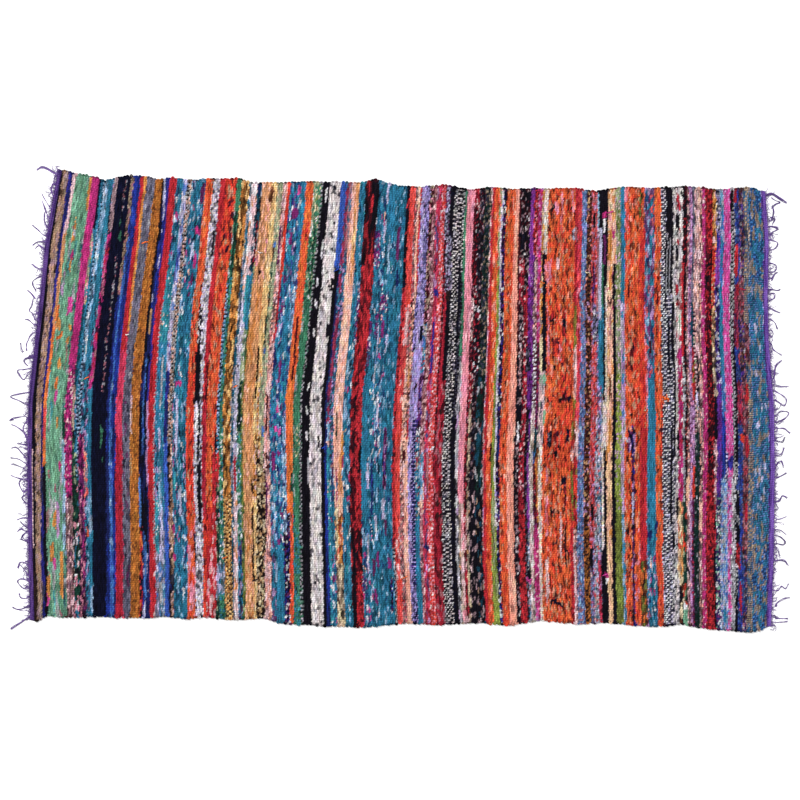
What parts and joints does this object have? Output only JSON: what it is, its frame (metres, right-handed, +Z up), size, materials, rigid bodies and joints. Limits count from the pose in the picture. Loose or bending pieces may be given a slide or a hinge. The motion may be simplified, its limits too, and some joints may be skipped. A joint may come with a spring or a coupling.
{
  "type": "rag rug",
  "caption": "Flat rectangular hand-woven rag rug with crosswise multi-coloured stripes, a purple yarn heading at each end and a short, uneven warp fringe.",
  "frame": {"origin": "middle of the rug's length and width, on its underside", "axes": "+X along the rug's length, across its stripes, +Y along the stripes, +Z up from the floor through the rug"},
  "size_m": [1.561, 0.9314, 0.0065],
  "materials": {
    "rag_weave": "matt woven cotton rags in many colours",
    "warp_yarn": "matt purple yarn"
  },
  "bodies": {
    "root": {"rag_cloth": "rag_weave", "heading_left": "warp_yarn", "heading_right": "warp_yarn"}
  },
  "joints": []
}
